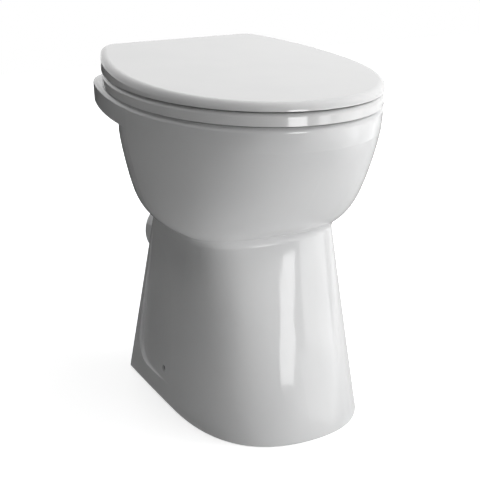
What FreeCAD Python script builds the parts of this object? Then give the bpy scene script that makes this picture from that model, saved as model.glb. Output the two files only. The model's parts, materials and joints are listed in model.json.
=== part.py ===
import FreeCAD, Part
import math
import os

V = FreeCAD.Vector
os.makedirs("parts", exist_ok=True)

# Overall size
WIDTH = 360.0
LENGTH = 482.0
RIM_HEIGHT = 458.5
HALF = WIDTH / 2
FRONT = -LENGTH / 2
REAR = LENGTH / 2

# Egg outline of rim, seat and lid: fullness of the front, and how fast the sides draw in to the rear
FRONT_FULL = 0.58
SEAT_DRAW = 0.289
DECK_DRAW = 0.190

# Rim band, which becomes the deck behind the bowl, and how far it curves in at front and sides
RIM_INSET = 1.5
RIM_BAND = 33.0
RIM_DRAFT_FRONT = 3.8
RIM_DRAFT_SIDE = 0.75
RIM_ROUND = 6.0
DECK_CORNER = 39.0

# Bowl rows: share of the drop, then shares of the way in at side, front and rear
BOWL_BACK = 66.0
BOWL_CORNER = 30.0
BOWL_TAPER = 0.572
BOWL_ROWS = (
    (0.00, 0.000, 0.000, 0.000),
    (0.22, 0.045, 0.126, 0.005),
    (0.48, 0.157, 0.320, 0.117),
    (0.75, 0.330, 0.588, 0.400),
    (1.00, 1.000, 1.000, 1.000),
)

# Waist and foot, with setbacks from the front and rear of the whole
WAIST_HEIGHT = 275.0
WAIST_HALF = 111.0
WAIST_FRONT_SET = 124.0
WAIST_REAR_SET = 112.0
WAIST_WIDE = -50.0
WAIST_FULL = 0.80
WAIST_TAPER = 0.79
WAIST_CORNER = 18.0
WAIST_ROUND = 12.0
FOOT_HALF = 135.0
FOOT_FRONT_SET = 24.5
FOOT_REAR_SET = 107.0
FOOT_WIDE = -40.0
FOOT_FULL = 0.67
FOOT_TAPER = 2.0
FOOT_CORNER = 8.0
FOOT_ROUND = 3.0
WALL = 13.0

# Shallow recess in each side of the foot
RECESS_FRONT = -60.0
RECESS_REAR_SET = 26.0
RECESS_LOW = 30.0
RECESS_HIGH = 238.0
RECESS_DEEP = 7.0
RECESS_RUNOUT = 0.4
RECESS_CORNER = 45.0
RECESS_ROUND = 4.0

# Bowl hollow, sump and trap; hollow rows: share of the drop, then shares of the bowl at side, front and rear
BOWL_HALF = 124.0
BOWL_FRONT_SET = 53.0
BOWL_REAR_SET = 135.0
BOWL_WIDE = -30.0
BOWL_UNDER = 24.0
HOLLOW_ROWS = (
    (0.00, 1.00, 1.00, 1.00),
    (0.22, 0.93, 0.83, 0.93),
    (0.33, 0.76, 0.65, 0.76),
    (0.46, 0.47, 0.38, 0.47),
    (0.70, 0.20, 0.18, 0.20),
    (1.00, 0.00, 0.00, 0.00),
)
SUMP_HEIGHT = 78.0
SUMP_SWELL = 2.0
TRAP_BORE = 40.0
TRAP_WALL = 11.0
TRAP_BEND = 62.0
TRAP_LEAN = 65.0
WEIR_RISE = 20.0
OUTLET_HEIGHT = 185.0

# Flush inlet behind the bowl
INLET_BORE = 27.5
INLET_WALL = 11.0
INLET_DROP = 48.0
INLET_DEEP = 60.0
INLET_THROAT = 14.0
INLET_ROOT = 30.0

# Seat and lid
SEAT_INSET = 1.0
SEAT_GAP = 2.5
SEAT_THICK = 16.5
SEAT_ROUND = 5.0
SEAT_CORNER = 40.0
SEAT_SETBACK = 30.0
SEAT_OPEN_HALF = 112.0
SEAT_OPEN_FRONT_SET = 70.0
SEAT_OPEN_REAR_SET = 128.0
LID_GAP = 2.5
LID_FRONT_TALL = 10.8
LID_REAR_TALL = 30.0
LID_CREST_AT = 0.54
LID_CREST_RISE = 0.15
LID_WALL = 4.0
LID_ROUND = 9.5
LID_CORNER = 24.0
LID_CLEAR = 2.0

# Hinge line
HINGE_SPACING = 155.0
AXIS_FROM_REAR = 22.0
AXIS_RISE = 35.5
PIN_RADIUS = 4.0
PIN_REACH = 32.0
RUN_CLEAR = 0.05
BUSH_WALL = 2.5
BUSH_FLANGE = 1.5
BUSH_LIP = 2.0
BARREL_RADIUS = 10.0
BARREL_HALF = 9.0
KNUCKLE_START = 16.0
KNUCKLE_WIDE = 14.0
ARM_ROOT = 18.0
ARM_TOE = 4.0
ARM_SKIN = 1.5
ARM_HALF = 9.0
LID_ARM_HALF = 8.0

# Hinge fixing through the deck
FLANGE_RADIUS = 15.0
FLANGE_THICK = 4.0
GASKET_THICK = 1.5
STUD_RADIUS = 4.0
STUD_DEEP = 12.0
STUD_BELOW = 30.0
DECK_HOLE = 7.0
CONE_TALL = 8.0
CONE_RADIUS = 12.0
CONE_NOSE = 5.0
WASHER_RADIUS = 9.0
WASHER_THICK = 2.0
NUT_RADIUS = 7.0
NUT_TALL = 9.0
WING_REACH = 17.0
WING_THICK = 3.0
WING_TALL = 14.0
WING_DROP = 2.0
FIT_CLEAR = 0.3

# Floor fixing at each side
FIX_Y = 2.0
FIX_HEIGHT = 50.0
FIX_SINK = 7.0
BRACKET_WIDE = 40.0
BRACKET_TALL = 66.0
BRACKET_THICK = 5.0
BRACKET_FOOT = 48.0
BRACKET_GAP = 2.0
FLOOR_HOLE = 4.5
FLOOR_HOLE_IN = 30.0
SCREW_RADIUS = 3.0
SCREW_PAST = 2.0
SCREW_HEAD = 4.8
SCREW_HEAD_TALL = 3.3
SCREW_DRIVE = 2.0
SCREW_WEB = 1.0
SLEEVE_WALL = 1.4
FIX_WASHER = 1.0
FIX_NUT = 5.0
FIX_NUT_RADIUS = 5.8

# Rubber feet of seat and lid, at shares of the half width and half length
BUFFER_SPOTS = ((0.58, -0.58), (0.77, 0.29))
BUFFER_RADIUS = 9.0
BUFFER_SINK = 3.0
LID_BUFFER_RADIUS = 6.0
LID_BUFFER_SINK = 5.0
LID_BOSS_WALL = 2.5
LID_BOSS_UP = 2.0

# Places that follow from the above
BAND_BOTTOM = RIM_HEIGHT - RIM_BAND
WAIST_FRONT = FRONT + WAIST_FRONT_SET
WAIST_REAR = REAR - WAIST_REAR_SET
FOOT_FRONT = FRONT + FOOT_FRONT_SET
FOOT_REAR = REAR - FOOT_REAR_SET
RECESS_REAR = FOOT_REAR - RECESS_REAR_SET
BOWL_FRONT = FRONT + BOWL_FRONT_SET
BOWL_REAR = REAR - BOWL_REAR_SET
INLET_Z = RIM_HEIGHT - INLET_DROP
SEAT_BOTTOM = RIM_HEIGHT + SEAT_GAP
SEAT_TOP = SEAT_BOTTOM + SEAT_THICK
LID_BOTTOM = SEAT_TOP + LID_GAP
AXIS_Y = REAR - AXIS_FROM_REAR
AXIS_Z = RIM_HEIGHT + AXIS_RISE
LID_REAR = AXIS_Y - BARREL_RADIUS - LID_CLEAR
SEAT_REAR = LID_REAR - SEAT_SETBACK
BUSH_BORE = PIN_RADIUS + RUN_CLEAR
BUSH_RADIUS = BUSH_BORE + BUSH_WALL
KNUCKLE_END = KNUCKLE_START + KNUCKLE_WIDE
SIDES = (-1, 1)


def curve(points, z):
    bezier = Part.BezierCurve()
    bezier.setPoles([V(x, y, z) for x, y in points])
    return bezier.toShape()


def mirrored(parts):
    return [[(-x, y) for x, y in reversed(part)] for part in reversed(parts)]


def egg(z, half, front, rear, corner, rear_half, wide=0.0, full=FRONT_FULL):
    """Closed outline: full front, sides drawn in along a parabola, rounded rear corners."""
    turn = rear - corner
    lean = 2 * (half - rear_half) / (turn - wide)
    tip = rear_half - lean * corner
    ahead = [(0, front), (full * half, front), (half, wide - full * (wide - front)), (half, wide)]
    side = [(half, wide), (half, (wide + turn) / 2), (rear_half, turn)]
    bend = [(rear_half, turn), (tip, rear), (tip - corner, rear)]
    back = [(tip - corner, rear), (corner - tip, rear)]
    right = [ahead, side, bend]
    return Part.Wire([curve(part, z) for part in right + [back] + mirrored(right)])


def oval(z, half, front, rear, wide):
    """Closed outline of quarter ovals, unlike in front of and behind its widest point."""
    k = 0.5523
    ahead = [(0, front), (k * half, front), (half, wide - k * (wide - front)), (half, wide)]
    behind = [(half, wide), (half, wide + k * (rear - wide)), (k * half, rear), (0, rear)]
    right = [ahead, behind]
    return Part.Wire([curve(part, z) for part in right + mirrored(right)])


def drawn(draw, half, y):
    """Half width at a station, drawn in along a parabola from the widest point."""
    return half - draw * y * y / REAR


def prism(wire, height):
    return Part.Face(wire).extrude(V(0, 0, height))


def rod(radius, start, end):
    return Part.makeCylinder(radius, (end - start).Length, start, end - start)


def upright(radius, x, y, z0, z1):
    return rod(radius, V(x, y, z0), V(x, y, z1))


def across(radius, x0, x1, y, z):
    return rod(radius, V(x0, y, z), V(x1, y, z))


def block(x0, x1, y0, y1, z0, z1):
    return Part.makeBox(abs(x1 - x0), y1 - y0, z1 - z0, V(min(x0, x1), y0, z0))


def slab(points, x0, x1):
    """Flat outline in the side view, carried across from x0 to x1."""
    corners = [V(x0, y, z) for y, z in points]
    return Part.Face(Part.makePolygon(corners + corners[:1])).extrude(V(x1 - x0, 0, 0))


def level_edges(shape, z):
    return [e for e in shape.Edges if e.BoundBox.ZLength < 1e-3 and abs(e.CenterOfMass.z - z) < 1e-3]


def save(node, *solids):
    shape = solids[0] if len(solids) == 1 else Part.makeCompound(list(solids))
    shape.exportStep("parts/" + node + ".step")


def foot_shape(inset):
    """Foot drawn in from floor to waist, or its hollow when inset by the wall."""
    floor = egg(0, FOOT_HALF - inset, FOOT_FRONT + inset, FOOT_REAR - inset, FOOT_CORNER,
                FOOT_HALF - FOOT_TAPER - inset, FOOT_WIDE, FOOT_FULL)
    waist = egg(WAIST_HEIGHT - inset, WAIST_HALF - inset, WAIST_FRONT + inset, WAIST_REAR - inset,
                WAIST_CORNER, WAIST_TAPER * WAIST_HALF - inset, WAIST_WIDE, WAIST_FULL)
    return Part.makeLoft([floor, waist], True, True)


def foot_half(y, z):
    """Half width of the foot's side at a station and height."""
    floor_share = (y - FOOT_WIDE) / (FOOT_REAR - FOOT_CORNER - FOOT_WIDE)
    waist_share = (y - WAIST_WIDE) / (WAIST_REAR - WAIST_CORNER - WAIST_WIDE)
    floor = FOOT_HALF - FOOT_TAPER * floor_share ** 2
    waist = WAIST_HALF - (1 - WAIST_TAPER) * WAIST_HALF * waist_share ** 2
    return floor + (waist - floor) * z / WAIST_HEIGHT


def recess_depth(y, z):
    """Depth of the side recess: most low at the rear, running out to the front and top."""
    along = (y - RECESS_FRONT) / (RECESS_REAR - RECESS_FRONT)
    above = (z - RECESS_LOW) / (RECESS_HIGH - RECESS_LOW)
    return along ** 2 * (1 - above) * (RECESS_DEEP + RECESS_RUNOUT) - RECESS_RUNOUT


def recess_shape(side):
    """Cutter for the side recess, with a round lower corner at the rear."""
    ends = []
    for y in (RECESS_FRONT, (RECESS_FRONT + RECESS_REAR) / 2, RECESS_REAR):
        low = foot_half(y, RECESS_LOW) - recess_depth(y, RECESS_LOW)
        high = foot_half(y, RECESS_HIGH) - recess_depth(y, RECESS_HIGH)
        points = [(low, RECESS_LOW), (HALF, RECESS_LOW), (HALF, RECESS_HIGH), (high, RECESS_HIGH)]
        corners = [V(side * x, y, z) for x, z in points]
        ends.append(Part.makePolygon(corners + corners[:1]))
    cutter = Part.makeLoft(ends, True, False)
    turn = [e for e in cutter.Edges if abs(e.CenterOfMass.y - RECESS_REAR) < 1e-3
            and e.BoundBox.ZLength < 1e-3 and abs(e.CenterOfMass.z - RECESS_LOW) < 1e-3]
    cutter = cutter.makeFillet(RECESS_CORNER, turn)
    floor = min(cutter.Faces, key=lambda face: abs(face.CenterOfMass.x))
    cove = [e for e in floor.Edges if e.BoundBox.YMax > RECESS_FRONT + RECESS_ROUND
            and e.BoundBox.ZMin < RECESS_HIGH - RECESS_ROUND]
    return cutter.makeFillet(RECESS_ROUND, cove)


def bowl_shape():
    """Outside of the bowl between rim band and waist."""
    half = HALF - RIM_INSET - RIM_DRAFT_SIDE
    front = FRONT + RIM_INSET + RIM_DRAFT_FRONT
    rear = REAR - BOWL_BACK
    sections = []
    for down, side, ahead, behind in BOWL_ROWS:
        sections.append(egg(
            BAND_BOTTOM - down * (BAND_BOTTOM - WAIST_HEIGHT),
            half + side * (WAIST_HALF - half),
            front + ahead * (WAIST_FRONT - front),
            rear + behind * (WAIST_REAR - rear),
            BOWL_CORNER + side * (WAIST_CORNER - BOWL_CORNER),
            BOWL_TAPER * half + behind * (WAIST_TAPER * WAIST_HALF - BOWL_TAPER * half),
            side * WAIST_WIDE,
            FRONT_FULL + side * (WAIST_FULL - FRONT_FULL)))
    return Part.makeLoft(sections, True, False)


def band_shape():
    """Rim band that runs into the bowl in front, and is the wider deck behind."""
    sections = []
    for down in (1.0, 0.5, 0.0):
        half = HALF - RIM_INSET - RIM_DRAFT_SIDE * down ** 2
        front = FRONT + RIM_INSET + RIM_DRAFT_FRONT * down ** 2
        deck_half = drawn(DECK_DRAW, half, REAR - DECK_CORNER)
        sections.append(egg(RIM_HEIGHT - down * RIM_BAND, half, front, REAR, DECK_CORNER, deck_half))
    opening = oval(BAND_BOTTOM, BOWL_HALF, BOWL_FRONT, BOWL_REAR, BOWL_WIDE)
    band = Part.makeLoft(sections, True, False).cut(prism(opening, RIM_BAND))
    return band.makeFillet(RIM_ROUND, level_edges(band, RIM_HEIGHT))


def trap_path():
    """Centre line of the trap: up from the sump, over the weir, down and out to the rear."""
    lean = math.radians(TRAP_LEAN)
    swing = math.acos(1 - WEIR_RISE / (2 * TRAP_BEND))
    weir_z = OUTLET_HEIGHT + WEIR_RISE
    exit_y = FOOT_REAR + TRAP_BEND / 2
    weir_y = exit_y - 2 * TRAP_BEND * math.sin(swing)

    def over(angle):
        return V(0, weir_y + TRAP_BEND * math.sin(angle), weir_z - TRAP_BEND * (1 - math.cos(angle)))

    def under(angle):
        drop = TRAP_BEND * (1 - math.cos(angle))
        return V(0, exit_y - TRAP_BEND * math.sin(angle), OUTLET_HEIGHT + drop)

    climb = over(-lean)
    sump = V(0, climb.y - (climb.z - SUMP_HEIGHT) / math.tan(lean), SUMP_HEIGHT)
    path = Part.Wire([
        Part.makeLine(sump, climb),
        Part.Arc(climb, over(0), over(swing)).toShape(),
        Part.Arc(over(swing), under(swing / 2), under(0)).toShape(),
        Part.makeLine(under(0), V(0, REAR, OUTLET_HEIGHT)),
    ])
    return path, sump, climb - sump


def trap_shape(radius):
    """Round tube along the trap, with a ball at the sump."""
    path, sump, along = trap_path()
    ring = Part.Wire(Part.makeCircle(radius, sump, along))
    return path.makePipeShell([ring], True, False), Part.makeSphere(radius + SUMP_SWELL, sump)


def hollow_shape(grow, top):
    """Inside of the bowl from rim band to sump, or the sump wall round it when grown."""
    sump_y = trap_path()[1].y
    sections = []
    for down, side, ahead, behind in HOLLOW_ROWS:
        z = BAND_BOTTOM - down * (BAND_BOTTOM - SUMP_HEIGHT)
        front = sump_y - TRAP_BORE
        rear = sump_y + TRAP_BORE
        if z <= top:
            sections.append(oval(
                z,
                TRAP_BORE + side * (BOWL_HALF + BOWL_UNDER - TRAP_BORE) + grow,
                front + ahead * (BOWL_FRONT - BOWL_UNDER - front) - grow,
                rear + behind * (BOWL_REAR + BOWL_UNDER - rear) + grow,
                sump_y + side * (BOWL_WIDE - sump_y)))
    return Part.makeLoft(sections, True, False)


# Pan: outer shape with crease at the waist and rounded floor edge
body = bowl_shape().fuse(foot_shape(0)).removeSplitter()
body = body.makeFillet(WAIST_ROUND, level_edges(body, WAIST_HEIGHT))
body = body.makeFillet(FOOT_ROUND, level_edges(body, 0))
body = body.cut([recess_shape(side) for side in SIDES])
body = body.cut(foot_shape(WALL))

# Pan: sump, trap and outlet inside the foot, then the waterways through them
body = body.fuse([hollow_shape(TRAP_WALL, WAIST_HEIGHT), *trap_shape(TRAP_BORE + TRAP_WALL)])
body = body.cut([hollow_shape(0, BAND_BOTTOM), *trap_shape(TRAP_BORE)])

# Pan: rim band on top, flush inlet at the rear
inlet_end = V(0, REAR, INLET_Z)
inlet_seat = inlet_end - V(0, INLET_DEEP, 0)
bowl_rear = V(0, BOWL_REAR, INLET_Z)
horn = rod(INLET_BORE + INLET_WALL, V(0, REAR - BOWL_BACK - INLET_ROOT, INLET_Z), inlet_end)
pan = body.fuse([band_shape(), horn]).removeSplitter()
pan = pan.cut([rod(INLET_BORE, inlet_seat, inlet_end),
               rod(INLET_THROAT, bowl_rear, inlet_seat)])

# Pan: holes for the hinges and for the floor fixings
holes = []
fix_face = foot_half(FIX_Y, FIX_HEIGHT) - recess_depth(FIX_Y, FIX_HEIGHT)
sleeve_radius = SCREW_RADIUS + SLEEVE_WALL
for side in SIDES:
    holes.append(upright(DECK_HOLE, side * HINGE_SPACING / 2, AXIS_Y, BAND_BOTTOM, RIM_HEIGHT))
    sunk = fix_face - FIX_SINK
    holes.append(across(SCREW_HEAD + FIT_CLEAR, side * sunk, side * HALF, FIX_Y, FIX_HEIGHT))
    holes.append(across(sleeve_radius, side * (sunk - WALL), side * HALF, FIX_Y, FIX_HEIGHT))
pan = pan.cut(holes)
save("pan", pan)


def lid_top(lower):
    """Profile of the lid's top in the side view, low at the front and rising over the hinges."""
    low = LID_BOTTOM + LID_FRONT_TALL - lower
    high = LID_BOTTOM + LID_REAR_TALL - lower
    run = LID_REAR - FRONT
    crest = Part.BezierCurve()
    middle = V(-WIDTH, FRONT + LID_CREST_AT * run, low + LID_CREST_RISE * (high - low))
    crest.setPoles([V(-WIDTH, FRONT, low), middle, V(-WIDTH, LID_REAR, high)])
    floor = LID_BOTTOM - 2 * LID_WALL
    corners = [V(-WIDTH, LID_REAR, high), V(-WIDTH, LID_REAR, floor), V(-WIDTH, FRONT, floor),
               V(-WIDTH, FRONT, low)]
    face = Part.Face(Part.Wire([crest.toShape(), *Part.makePolygon(corners).Edges]))
    return face.extrude(V(2 * WIDTH, 0, 0))


def lid_shape(inset, lower, rounding):
    """Lid as a full block under its top, or its inside when inset and lowered."""
    half = HALF - inset
    turn_half = drawn(SEAT_DRAW, HALF, LID_REAR - LID_CORNER) - inset
    outline = egg(LID_BOTTOM - lower, half, FRONT + inset, LID_REAR - inset, LID_CORNER - inset, turn_half)
    shape = prism(outline, 2 * LID_REAR_TALL).common(lid_top(lower))
    top = max(shape.Faces, key=lambda face: face.CenterOfMass.z)
    return shape.makeFillet(rounding, top.Edges)


def knuckle_shape(side, start, arm):
    """Hinge knuckle on the axis with its arm, bored for a bush."""
    x0 = side * (HINGE_SPACING / 2 + start)
    x1 = x0 + side * KNUCKLE_WIDE
    barrel = across(BARREL_RADIUS, x0, x1, AXIS_Y, AXIS_Z)
    return barrel.fuse(slab(arm, x0, x1))


# Seat ring with arms up to the hinge line
seat_half = HALF - SEAT_INSET
seat_turn = drawn(SEAT_DRAW, seat_half, SEAT_REAR - SEAT_CORNER)
seat_outline = egg(SEAT_BOTTOM, seat_half, FRONT + SEAT_INSET, SEAT_REAR, SEAT_CORNER, seat_turn)
seat_open_front = FRONT + SEAT_OPEN_FRONT_SET
seat_open_rear = REAR - SEAT_OPEN_REAR_SET
seat_opening = oval(SEAT_BOTTOM, SEAT_OPEN_HALF, seat_open_front, seat_open_rear, BOWL_WIDE)
seat = prism(seat_outline, SEAT_THICK).cut(prism(seat_opening, SEAT_THICK))
seat = seat.makeFillet(SEAT_ROUND, level_edges(seat, SEAT_TOP))
seat_arm = [
    (SEAT_REAR - ARM_ROOT, SEAT_BOTTOM + ARM_SKIN), (AXIS_Y - ARM_TOE, SEAT_BOTTOM + ARM_SKIN),
    (AXIS_Y + ARM_HALF, AXIS_Z), (AXIS_Y - ARM_HALF, AXIS_Z),
    (AXIS_Y - ARM_HALF, SEAT_TOP - ARM_SKIN), (SEAT_REAR - ARM_ROOT, SEAT_TOP - ARM_SKIN),
]
lid_arm = [
    (LID_REAR - LID_WALL / 2, AXIS_Z - LID_ARM_HALF), (AXIS_Y, AXIS_Z - ARM_HALF),
    (AXIS_Y, AXIS_Z + ARM_HALF), (LID_REAR - LID_WALL / 2, AXIS_Z + LID_ARM_HALF),
]
lid = lid_shape(0, 0, LID_ROUND).cut(lid_shape(LID_WALL, LID_WALL, LID_ROUND - LID_WALL))

seat_bores, lid_bores = [], []
for side in SIDES:
    middle = side * HINGE_SPACING / 2
    seat = seat.fuse(knuckle_shape(side, KNUCKLE_START, seat_arm))
    lid = lid.fuse(knuckle_shape(side, -KNUCKLE_END, lid_arm))
    seat_bores.append(across(BUSH_RADIUS, middle, middle + side * 2 * KNUCKLE_END, AXIS_Y, AXIS_Z))
    lid_bores.append(across(BUSH_RADIUS, middle, middle - side * 2 * KNUCKLE_END, AXIS_Y, AXIS_Z))
seat = seat.cut(seat_bores)
lid = lid.cut(lid_bores)

# Rubber feet under seat and lid, each in its own pocket
seat_feet, lid_feet = [], []
lid_boss_bottom = LID_BOTTOM + LID_BOSS_UP
for out, back in BUFFER_SPOTS:
    y = back * REAR
    for side in SIDES:
        x = side * out * HALF
        foot = upright(BUFFER_RADIUS, x, y, RIM_HEIGHT, SEAT_BOTTOM + BUFFER_SINK)
        seat = seat.cut(foot)
        seat_feet.append(foot)
        boss = upright(LID_BUFFER_RADIUS + LID_BOSS_WALL, x, y, lid_boss_bottom, LID_BOTTOM + LID_REAR_TALL)
        boss = boss.common(lid_shape(LID_WALL / 2, LID_WALL / 2, LID_ROUND - LID_WALL / 2))
        pad = upright(LID_BUFFER_RADIUS, x, y, SEAT_TOP, lid_boss_bottom + LID_BUFFER_SINK)
        lid = lid.fuse(boss).cut(pad)
        lid_feet.append(pad)
seat = seat.removeSplitter()
lid = lid.removeSplitter()
save("seat_ring", seat)
save("lid", lid)
save("seat_buffers", *seat_feet)
save("lid_buffers", *lid_feet)

# Hinges: post, pin, bushes and the fixing below the deck, one set at each side
flange_bottom = RIM_HEIGHT + GASKET_THICK
pins, seat_bushes, lid_bushes, gaskets, studs, cones, washers, nuts = [], [], [], [], [], [], [], []
for side, name in zip(SIDES, ("left", "right")):
    x = side * HINGE_SPACING / 2
    post = upright(FLANGE_RADIUS, x, AXIS_Y, flange_bottom, flange_bottom + FLANGE_THICK)
    post = post.fuse(upright(BARREL_RADIUS, x, AXIS_Y, flange_bottom, AXIS_Z))
    post = post.fuse(across(BARREL_RADIUS, x - BARREL_HALF, x + BARREL_HALF, AXIS_Y, AXIS_Z))
    stud_bottom = BAND_BOTTOM - STUD_BELOW
    stud = upright(STUD_RADIUS, x, AXIS_Y, stud_bottom, flange_bottom + STUD_DEEP)
    pin = across(PIN_RADIUS, x - PIN_REACH, x + PIN_REACH, AXIS_Y, AXIS_Z)
    save("hinge_post_" + name, post.cut([stud, pin]).removeSplitter())
    studs.append(stud)
    pins.append(pin)
    for bushes, way in ((seat_bushes, side), (lid_bushes, -side)):
        start = x + way * KNUCKLE_START
        tube = across(BUSH_RADIUS, start, start + way * KNUCKLE_WIDE, AXIS_Y, AXIS_Z)
        lip = across(BUSH_RADIUS + BUSH_LIP, start - way * BUSH_FLANGE, start, AXIS_Y, AXIS_Z)
        bore = across(BUSH_BORE, x, x + way * 2 * KNUCKLE_END, AXIS_Y, AXIS_Z)
        bushes.append(tube.fuse(lip).cut(bore).removeSplitter())
    loose = upright(STUD_RADIUS + FIT_CLEAR, x, AXIS_Y, stud_bottom, AXIS_Z)
    gaskets.append(upright(FLANGE_RADIUS, x, AXIS_Y, RIM_HEIGHT, flange_bottom).cut(loose))
    cone_bottom = BAND_BOTTOM - CONE_TALL
    cone = Part.makeCone(WASHER_RADIUS, CONE_RADIUS, CONE_TALL, V(x, AXIS_Y, cone_bottom))
    nose = upright(DECK_HOLE - FIT_CLEAR, x, AXIS_Y, BAND_BOTTOM, BAND_BOTTOM + CONE_NOSE)
    cones.append(cone.fuse(nose).cut(loose).removeSplitter())
    washer_bottom = cone_bottom - WASHER_THICK
    washers.append(upright(WASHER_RADIUS, x, AXIS_Y, washer_bottom, cone_bottom).cut(loose))
    nut = upright(NUT_RADIUS, x, AXIS_Y, washer_bottom - NUT_TALL, washer_bottom)
    wing = block(x - WING_REACH, x + WING_REACH, AXIS_Y - WING_THICK / 2, AXIS_Y + WING_THICK / 2,
                 washer_bottom - WING_TALL, washer_bottom - WING_DROP)
    nuts.append(nut.fuse(wing).cut(stud).removeSplitter())
save("hinge_pins", *pins)
save("seat_bushes", *seat_bushes)
save("lid_bushes", *lid_bushes)
save("hinge_gaskets", *gaskets)
save("hinge_studs", *studs)
save("cone_washers", *cones)
save("hinge_washers", *washers)
save("wing_nuts", *nuts)

# Floor fixing: angle bracket inside the foot, held through the side wall by a screw
screws, sleeves, screw_washers, fix_nuts = [], [], [], []
leg_face = foot_half(FIX_Y, BRACKET_TALL) - WALL - BRACKET_GAP
seat_face = fix_face - FIX_SINK
for side, name in zip(SIDES, ("left", "right")):
    y0, y1 = FIX_Y - BRACKET_WIDE / 2, FIX_Y + BRACKET_WIDE / 2
    leg = block(side * leg_face, side * (leg_face - BRACKET_THICK), y0, y1, 0, BRACKET_TALL)
    base = block(side * leg_face, side * (leg_face - BRACKET_FOOT), y0, y1, 0, BRACKET_THICK)
    floor_hole = upright(FLOOR_HOLE, side * (leg_face - FLOOR_HOLE_IN), FIX_Y, 0, BRACKET_THICK)
    inner = leg_face - BRACKET_THICK
    shank_end = inner - FIX_NUT - SCREW_PAST
    head_in = seat_face + FIX_WASHER
    shank = across(SCREW_RADIUS, side * shank_end, side * head_in, FIX_Y, FIX_HEIGHT)
    head = across(SCREW_HEAD, side * head_in, side * (head_in + SCREW_HEAD_TALL), FIX_Y, FIX_HEIGHT)
    drive = across(SCREW_DRIVE, side * (head_in + SCREW_WEB), side * HALF, FIX_Y, FIX_HEIGHT)
    bracket = leg.fuse(base).cut([floor_hole, shank])
    save("floor_bracket_" + name, bracket.removeSplitter())
    screws.append(shank.fuse(head).cut(drive).removeSplitter())
    sleeve_end = leg_face + BRACKET_GAP
    sleeve = across(sleeve_radius, side * sleeve_end, side * seat_face, FIX_Y, FIX_HEIGHT)
    sleeves.append(sleeve.cut(shank))
    ring = across(SCREW_HEAD, side * seat_face, side * head_in, FIX_Y, FIX_HEIGHT)
    screw_washers.append(ring.cut(shank))
    hexagon = [(FIX_Y + FIX_NUT_RADIUS * math.sin(math.radians(60 * i)),
                FIX_HEIGHT + FIX_NUT_RADIUS * math.cos(math.radians(60 * i))) for i in range(6)]
    fix_nuts.append(slab(hexagon, side * inner, side * (inner - FIX_NUT)).cut(shank))
save("side_screws", *screws)
save("side_sleeves", *sleeves)
save("side_washers", *screw_washers)
save("bracket_nuts", *fix_nuts)
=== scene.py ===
"""Studio picture of a floor-standing toilet: looks for its CAD solids, stage, light and camera, in metres."""

import json
import math

import bpy
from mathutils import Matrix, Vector

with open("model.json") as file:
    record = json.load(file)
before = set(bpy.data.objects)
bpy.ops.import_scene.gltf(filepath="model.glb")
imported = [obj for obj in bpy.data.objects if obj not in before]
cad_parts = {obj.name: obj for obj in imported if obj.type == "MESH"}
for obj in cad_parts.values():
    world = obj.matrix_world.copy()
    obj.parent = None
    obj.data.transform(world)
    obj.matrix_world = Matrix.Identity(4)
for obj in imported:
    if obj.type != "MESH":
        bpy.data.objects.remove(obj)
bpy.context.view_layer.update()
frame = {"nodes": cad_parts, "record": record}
nodes = frame["nodes"]
scene = bpy.context.scene
scene.view_settings.view_transform = "Standard"

# Camera of the photograph: bearing and height in degrees, lens and sensor in millimetres
VIEW_BEARING = -28.34
VIEW_RISE = 19.18
VIEW_DISTANCE = 1.60915
VIEW_TARGET = Vector((0.0, 0.0, 0.23395))
VIEW_LENS = 80.2
VIEW_SENSOR = 36.0

# Lighter and darker tone of each substance
GLAZE = ((0.800, 0.803, 0.805), (0.776, 0.780, 0.784))
SEAT = ((0.812, 0.812, 0.810), (0.796, 0.797, 0.797))
STEEL = ((0.66, 0.66, 0.67), (0.48, 0.48, 0.49))
DARK_STEEL = ((0.10, 0.10, 0.10), (0.06, 0.06, 0.06))
ZINC = ((0.50, 0.51, 0.53), (0.38, 0.39, 0.40))
GREY_RUBBER = ((0.34, 0.34, 0.34), (0.27, 0.27, 0.27))
BLACK_RUBBER = ((0.035, 0.035, 0.036), (0.02, 0.02, 0.021))
NATURAL_NYLON = ((0.66, 0.65, 0.60), (0.58, 0.57, 0.52))
MOULDED_NYLON = ((0.60, 0.60, 0.58), (0.52, 0.52, 0.50))
DARK_NYLON = ((0.05, 0.05, 0.05), (0.03, 0.03, 0.03))

# Thread of the hinge studs, and how many radians a wave texture of scale 1 runs through per metre
THREAD_AXIS = "Z"
THREAD_PITCH = 0.00125
WAVE_RATE = 20.0

# Soft lamps: middle, target, width and height, power
LAMPS = {
    "top_lamp": ((0.0, 0.0, 2.4), (0.0, 0.0, 0.4), (2.2, 2.2), 23.0),
    "rear_lamp": ((0.35, 2.10, 1.40), (0.0, 0.0, 0.25), (1.2, 1.0), 13.0),
    "right_lamp": ((1.85, -0.67, 1.63), (0.0, 0.0, 0.25), (1.2, 1.0), 28.0),
    "front_lamp": ((0.93, -1.98, 0.53), (0.0, 0.0, 0.30), (1.2, 0.6), 13.0),
    "left_front_lamp": ((-0.38, -2.15, 0.53), (0.0, 0.0, 0.30), (1.0, 0.6), 3.0),
}

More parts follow.
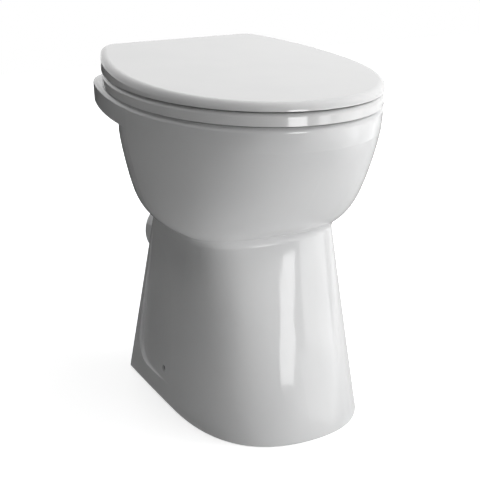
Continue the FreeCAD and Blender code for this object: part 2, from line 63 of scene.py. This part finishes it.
# Painted reflections that glow in the gloss alone: white painted highlights apart from the painted dark
# reflection on the left side, and all lower than the lid: strength and corners
PAINTED_REFLECTIONS = {
    # Painted highlight: a bright strip mirrored down the front of the pedestal
    "painted_strip_highlight": (5.5, (
        (0.086, -0.9, 0.205), (0.260, -0.9, 0.196), (0.467, -0.9, 0.353),
        (0.560, -0.9, 0.485), (0.430, -0.9, 0.485), (0.300, -0.9, 0.361),
    )),
    # Painted highlight on the front right of the pedestal
    "painted_front_right_highlight": (3.0, (
        (0.476, -0.83, 0.247), (0.80, -0.42, 0.06), (0.80, -0.42, 0.32), (0.53, -0.762, 0.46),
    )),
    # Painted highlight low on the front right, toward the foot, fading from the white of the room
    "painted_base_highlight": (2.3, (
        (0.200, -1.18, 0.17), (0.422, -0.899, 0.108), (0.638, -0.625, 0.003), (0.80, -0.42, 0.003),
        (0.80, -0.42, 0.06), (0.476, -0.83, 0.247), (0.200, -1.18, 0.30),
    )),
    # Painted dark reflection: shade mirrored on the left side of the pedestal, in the gloss alone
    "painted_dark_side_reflection": (0.05, (
        (-1.98, 0.85, 0.004), (0.07, -1.20, 0.004), (0.07, -1.20, 0.485), (-1.98, 0.85, 0.485),
    )),
    # Painted highlights on the front edges of the lid, seat and bowl rim
    "painted_edge_highlight": (9.0, (
        (-0.092, -0.39, 0.402), (-0.014, -0.39, 0.402), (-0.014, -0.39, 0.490), (-0.092, -0.39, 0.490),
    )),
}

# Painted reflections that fade from the white of the room: direction of the fade, and where along it the fade
# runs
PAINTED_REFLECTION_FADES = {
    "painted_base_highlight": ((1.0, 0.0, 0.0), 0.20, 0.47),
    "painted_dark_side_reflection": ((-0.43, 0.43, 1.0), -0.05, 0.27),
}

# Room: strength of its white to the eye, and as a source of light
ROOM_WHITE = 1.0
AMBIENT = 0.015

# Floor: its side, its paint, its glow by the object, and between which distances the glow rises to white
FLOOR_SIZE = 5.5
FLOOR_PAINT = 0.80
FLOOR_GLOW = 0.66
FLOOR_NEAR = 0.5
FLOOR_FAR = 1.5

# Painted dark reflection of the floor behind and to the left, a sheet seen in the gloss alone: its side,
# middle, turn, strength and the width of its fading edge
DARK_REFLECTION_SIZE = 4.4
DARK_REFLECTION_MIDDLE = (-0.99, 1.32, 0.004)
DARK_REFLECTION_TURN = math.radians(126.9)
DARK_REFLECTION_STRENGTH = 0.03
DARK_REFLECTION_FADE = 0.90


def cleared(tree, kind):
    """Empties a node tree and returns the surface socket of its new output."""
    tree.nodes.clear()
    return tree.nodes.new(kind).inputs["Surface"]


class Shader:
    """One node material: helpers that add a node, feed its sockets and return its output."""

    def __init__(self, name):
        self.material = bpy.data.materials.new(name)
        self.material.use_nodes = True
        self.tree = self.material.node_tree
        out = cleared(self.tree, "ShaderNodeOutputMaterial")
        self.surface = self.node("ShaderNodeBsdfPrincipled")
        self.link(self.surface.outputs["BSDF"], out)
        self.place = self.node("ShaderNodeTexCoord").outputs["Object"]

    def node(self, kind, **settings):
        made = self.tree.nodes.new(kind)
        for key, value in settings.items():
            setattr(made, key, value)
        return made

    def link(self, source, target):
        self.tree.links.new(source, target)

    def set(self, **values):
        for key, value in values.items():
            self.surface.inputs[key].default_value = value

    def feed(self, **sources):
        for key, source in sources.items():
            self.link(source, self.surface.inputs[key.replace("_", " ")])

    def noise(self, scale, detail=3.0, rough=0.5, stretch=(1, 1, 1)):
        mapping = self.node("ShaderNodeMapping")
        mapping.inputs["Scale"].default_value = stretch
        self.link(self.place, mapping.inputs["Vector"])
        made = self.node("ShaderNodeTexNoise")
        made.inputs["Scale"].default_value = scale
        made.inputs["Detail"].default_value = detail
        made.inputs["Roughness"].default_value = rough
        self.link(mapping.outputs["Vector"], made.inputs["Vector"])
        return made.outputs["Fac"]

    def ridges(self, axis, pitch):
        made = self.node("ShaderNodeTexWave", wave_type="BANDS", bands_direction=axis, wave_profile="TRI")
        made.inputs["Scale"].default_value = 2 * math.pi / (WAVE_RATE * pitch)
        self.link(self.place, made.inputs["Vector"])
        return made.outputs["Fac"]

    def shades(self, source, tones, low, high):
        """Colour that runs from the darker tone to the lighter one while the source runs from low to high."""
        light, dark = tones
        made = self.node("ShaderNodeValToRGB")
        for element, at, colour in zip(made.color_ramp.elements, (low, high), (dark, light)):
            element.position = at
            element.color = (*colour, 1.0)
        self.link(source, made.inputs["Fac"])
        return made.outputs["Color"]

    def spread(self, source, low, high):
        made = self.node("ShaderNodeMapRange")
        made.inputs["To Min"].default_value = low
        made.inputs["To Max"].default_value = high
        self.link(source, made.inputs["Value"])
        return made.outputs["Result"]

    def bump(self, source, distance, strength=1.0, under=None):
        made = self.node("ShaderNodeBump")
        made.inputs["Distance"].default_value = distance
        made.inputs["Strength"].default_value = strength
        self.link(source, made.inputs["Height"])
        if under is not None:
            self.link(under, made.inputs["Normal"])
        return made.outputs["Normal"]


def glaze():
    """Vitreous china: a thick glossy glaze that pools a little unevenly over the body."""
    s = Shader("white_glaze")
    pooled = s.noise(scale=9.0, detail=2.0, rough=0.4)
    fine = s.noise(scale=420.0, detail=2.0)
    swell = s.bump(pooled, distance=0.0002, strength=0.05)
    s.feed(
        Base_Color=s.shades(pooled, GLAZE, low=0.30, high=0.62),
        Roughness=s.spread(s.noise(scale=35.0, detail=4.0), low=0.035, high=0.075),
        Normal=s.bump(fine, distance=0.000008, strength=0.2, under=swell),
    )
    s.set(IOR=1.52)
    return s.material


def moulded(name):
    """Polished thermoset moulding with the faint waviness of its tool."""
    s = Shader(name)
    wave = s.noise(scale=14.0, detail=2.0, rough=0.4)
    peel = s.noise(scale=700.0, detail=2.0, rough=0.6)
    swell = s.bump(wave, distance=0.0001, strength=0.06)
    s.feed(
        Base_Color=s.shades(wave, SEAT, low=0.32, high=0.60),
        Roughness=s.spread(s.noise(scale=60.0, detail=4.0), low=0.07, high=0.12),
        Normal=s.bump(peel, distance=0.000005, strength=0.05, under=swell),
    )
    s.set(IOR=1.5)
    return s.material


def brushed(name, tones, stretch, threaded=False):
    """Steel with fine brush lines, drawn out where the stretch is small, and with a thread if asked for."""
    s = Shader(name)
    lines = s.noise(scale=260.0, detail=5.0, rough=0.7, stretch=stretch)
    relief = s.bump(lines, distance=0.00004, strength=0.5)
    if threaded:
        relief = s.bump(s.ridges(THREAD_AXIS, THREAD_PITCH), distance=0.0006, under=relief)
    s.feed(
        Base_Color=s.shades(lines, tones, low=0.30, high=0.70),
        Roughness=s.spread(lines, low=0.18, high=0.36),
        Normal=relief,
    )
    s.set(Metallic=1.0)
    return s.material


def matt(name, tones, low, high, grain):
    """Moulded rubber or nylon: dull between two roughnesses, with a fine pebbled skin."""
    s = Shader(name)
    skin = s.noise(scale=grain, detail=4.0, rough=0.6)
    s.feed(
        Base_Color=s.shades(s.noise(scale=60.0), tones, low=0.30, high=0.70),
        Roughness=s.spread(skin, low, high),
        Normal=s.bump(skin, distance=0.00008, strength=0.5),
    )
    return s.material


def dress():
    """Gives each CAD piece the look of its slot, or one of its own."""
    looks = {
        "pan": glaze(),
        "seat": moulded("seat_white"),
        "lid": moulded("lid_white"),
        "steel": brushed("brushed_steel", STEEL, stretch=(1.0, 1.0, 0.04)),
        "bracket": brushed("zinc_plate", ZINC, stretch=(0.3, 0.3, 0.3)),
        "buffer": matt("grey_rubber", GREY_RUBBER, low=0.55, high=0.75, grain=900.0),
        "gasket": matt("black_rubber", BLACK_RUBBER, low=0.5, high=0.75, grain=900.0),
        "bush": matt("natural_nylon", NATURAL_NYLON, low=0.32, high=0.45, grain=500.0),
        "nut": matt("moulded_nylon", MOULDED_NYLON, low=0.35, high=0.5, grain=500.0),
    }
    own_looks = {
        "hinge_studs": brushed("threaded_steel", STEEL, stretch=(1.0, 1.0, 0.3), threaded=True),
        "side_screws": brushed("dark_steel", DARK_STEEL, stretch=(0.3, 0.3, 0.3)),
        "side_washers": matt("dark_nylon", DARK_NYLON, low=0.45, high=0.65, grain=900.0),
    }
    for part in frame["record"]["subparts"]:
        for slot in nodes[part["node"]].material_slots:
            slot.material = own_looks.get(part["node"], looks[part["material_slot"]])


def lamp(name, middle, target, size, power):
    """Large flat lamp that faces its target and leaves no mirror image of its own."""
    data = bpy.data.lights.new(name, "AREA")
    data.shape = "RECTANGLE"
    data.size, data.size_y = size
    data.energy = power
    made = bpy.data.objects.new(name, data)
    scene.collection.objects.link(made)
    made.location = middle
    made.rotation_euler = (Vector(middle) - Vector(target)).to_track_quat("Z", "Y").to_euler()
    made.visible_camera = False
    made.visible_glossy = False


def plane(name, size, middle, turn=0.0):
    """Level square, turned about the vertical."""
    bpy.ops.mesh.primitive_plane_add(size=size, location=middle, rotation=(0, 0, turn))
    made = bpy.context.object
    made.name = name
    return made


def mirrored_only(made):
    """Stage piece for a painted reflection: it shows in the gloss alone, and neither lights nor shades
    anything.
    """
    for ray in ("camera", "diffuse", "transmission", "volume_scatter", "shadow"):
        setattr(made, "visible_" + ray, False)


def seen_rays(tree):
    """One for what the eye meets directly, in a mirror or through glass, nought for plain light."""
    rays = tree.nodes.new("ShaderNodeLightPath")
    total = rays.outputs["Is Camera Ray"]
    for kind in ("Is Glossy Ray", "Is Transmission Ray"):
        either = tree.nodes.new("ShaderNodeMath")
        either.operation = "MAXIMUM"
        tree.links.new(total, either.inputs[0])
        tree.links.new(rays.outputs[kind], either.inputs[1])
        total = either.outputs[0]
    return total


def levels(tree, source, low, high, start=0.0, end=1.0):
    """Eased change from one level to another while the source runs from start to end."""
    made = tree.nodes.new("ShaderNodeMapRange")
    made.interpolation_type = "SMOOTHSTEP"
    made.inputs["From Min"].default_value = start
    made.inputs["From Max"].default_value = end
    made.inputs["To Min"].default_value = low
    made.inputs["To Max"].default_value = high
    tree.links.new(source, made.inputs["Value"])
    return made.outputs["Result"]


def measured(tree, operation, other=(0, 0, 0)):
    """Number that a vector operation works out from each place on the object."""
    made = tree.nodes.new("ShaderNodeVectorMath")
    made.operation = operation
    made.inputs[1].default_value = other
    place = tree.nodes.new("ShaderNodeTexCoord").outputs["Object"]
    tree.links.new(place, made.inputs[0])
    return made.outputs["Value"]


def stage_look(made, name):
    """Gives a stage piece a new material and returns its tree, surface socket and emission node."""
    look = bpy.data.materials.new(name)
    look.use_nodes = True
    made.data.materials.append(look)
    tree = look.node_tree
    surface = cleared(tree, "ShaderNodeOutputMaterial")
    return tree, surface, tree.nodes.new("ShaderNodeEmission")


def painted_reflection_glow(made, name, strength, fade=None):
    """Painted reflection: a glow for the gloss to mirror, even or fading from the white of the room along a
    direction.
    """
    mirrored_only(made)
    tree, surface, glow = stage_look(made, name)
    tree.links.new(glow.outputs["Emission"], surface)
    glow.inputs["Strength"].default_value = strength
    if fade is not None:
        toward, start, end = fade
        along = measured(tree, "DOT_PRODUCT", toward)
        tree.links.new(levels(tree, along, ROOM_WHITE, strength, start, end), glow.inputs["Strength"])


def painted_reflection(name, strength, corners):
    """Painted highlight or painted dark reflection: a flat sheet between its corners that glows in the gloss
    alone.
    """
    mesh = bpy.data.meshes.new(name)
    mesh.from_pydata(corners, [], [range(len(corners))])
    made = bpy.data.objects.new(name, mesh)
    scene.collection.objects.link(made)
    painted_reflection_glow(made, name, strength, PAINTED_REFLECTION_FADES.get(name))


def painted_dark_floor_reflection():
    """Painted dark reflection: a dark sheet on the floor behind and to the left, seen in the gloss alone,
    with one fading edge.
    """
    dark_sheet = plane("painted_dark_floor_reflection", DARK_REFLECTION_SIZE, DARK_REFLECTION_MIDDLE, DARK_REFLECTION_TURN)
    edge = -DARK_REFLECTION_SIZE / 2
    painted_reflection_glow(dark_sheet, "painted_dark_floor_reflection", DARK_REFLECTION_STRENGTH, ((1.0, 0.0, 0.0), edge, edge + DARK_REFLECTION_FADE))


def white_floor():
    """Floor that glows to the eye, up to white away from the object, and keeps the object's shadow."""
    floor = plane("floor", FLOOR_SIZE, (0, 0, 0))
    tree, surface, glow = stage_look(floor, "white_floor")
    paint = tree.nodes.new("ShaderNodeBsdfDiffuse")
    paint.inputs["Color"].default_value = (FLOOR_PAINT, FLOOR_PAINT, FLOOR_PAINT, 1)
    rising = levels(tree, measured(tree, "LENGTH"), FLOOR_GLOW, ROOM_WHITE, FLOOR_NEAR, FLOOR_FAR)
    strength = tree.nodes.new("ShaderNodeMath")
    strength.operation = "MULTIPLY"
    tree.links.new(rising, strength.inputs[0])
    tree.links.new(seen_rays(tree), strength.inputs[1])
    tree.links.new(strength.outputs[0], glow.inputs["Strength"])
    both = tree.nodes.new("ShaderNodeAddShader")
    tree.links.new(paint.outputs["BSDF"], both.inputs[0])
    tree.links.new(glow.outputs["Emission"], both.inputs[1])
    tree.links.new(both.outputs["Shader"], surface)


def white_room():
    """White surroundings, dimmer as a source of light than to the eye."""
    world = bpy.data.worlds.new("studio")
    scene.world = world
    world.use_nodes = True
    tree = world.node_tree
    surface = cleared(tree, "ShaderNodeOutputWorld")
    sky = tree.nodes.new("ShaderNodeBackground")
    sky.inputs["Color"].default_value = (1, 1, 1, 1)
    tree.links.new(levels(tree, seen_rays(tree), AMBIENT, ROOM_WHITE), sky.inputs["Strength"])
    tree.links.new(sky.outputs["Background"], surface)


def photo_camera():
    """Camera that stands where the photograph was taken from."""
    bearing = math.radians(VIEW_BEARING)
    rise = math.radians(VIEW_RISE)
    level = math.cos(rise)
    back = Vector((math.sin(bearing) * level, -math.cos(bearing) * level, math.sin(rise)))
    data = bpy.data.cameras.new("photo_camera")
    data.lens = VIEW_LENS
    data.sensor_width = VIEW_SENSOR
    camera = bpy.data.objects.new("photo_camera", data)
    scene.collection.objects.link(camera)
    camera.location = VIEW_TARGET + back * VIEW_DISTANCE
    camera.rotation_euler = back.to_track_quat("Z", "Y").to_euler()
    scene.camera = camera


dress()
white_floor()
white_room()
for name, placed in LAMPS.items():
    lamp(name, *placed)
# Painted highlights and painted dark reflections, seen in the gloss alone
for name, lit in PAINTED_REFLECTIONS.items():
    painted_reflection(name, *lit)
# Painted dark reflection of the floor behind and to the left
painted_dark_floor_reflection()
photo_camera()
